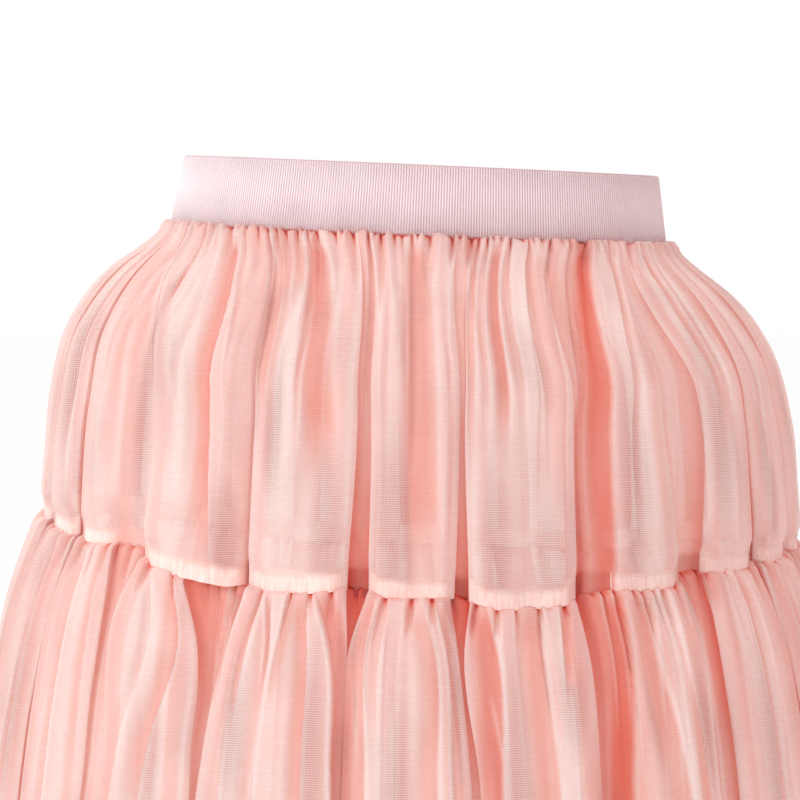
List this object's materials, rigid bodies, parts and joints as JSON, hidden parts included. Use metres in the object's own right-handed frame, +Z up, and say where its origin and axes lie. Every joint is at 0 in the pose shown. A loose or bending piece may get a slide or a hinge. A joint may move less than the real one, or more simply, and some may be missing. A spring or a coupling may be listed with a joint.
{
  "type": "tulle skirt",
  "caption": "Short two-tier gathered skirt of sheer tulle on a wide ribbed elastic waistband, hollow as worn and open at waist and hem.",
  "frame": {"origin": "middle of the waist, half way up the waistband", "axes": "+Z up, out of the waist; -Y the front of the skirt; +X the wearer's left"},
  "size_m": [0.5314, 0.4662, 0.4821],
  "materials": {
    "ribbed_elastic": "matte woven ribs",
    "pink_tulle": "sheer soft satin sheen",
    "seam_allowance": "matte pressed and frayed"
  },
  "bodies": {
    "root": {"waistband": "ribbed_elastic", "upper_tier_front": "pink_tulle", "upper_tier_back": "pink_tulle", "lower_tier_front": "pink_tulle", "lower_tier_back": "pink_tulle", "tier_seam_front": "seam_allowance", "tier_seam_back": "seam_allowance"}
  },
  "joints": []
}
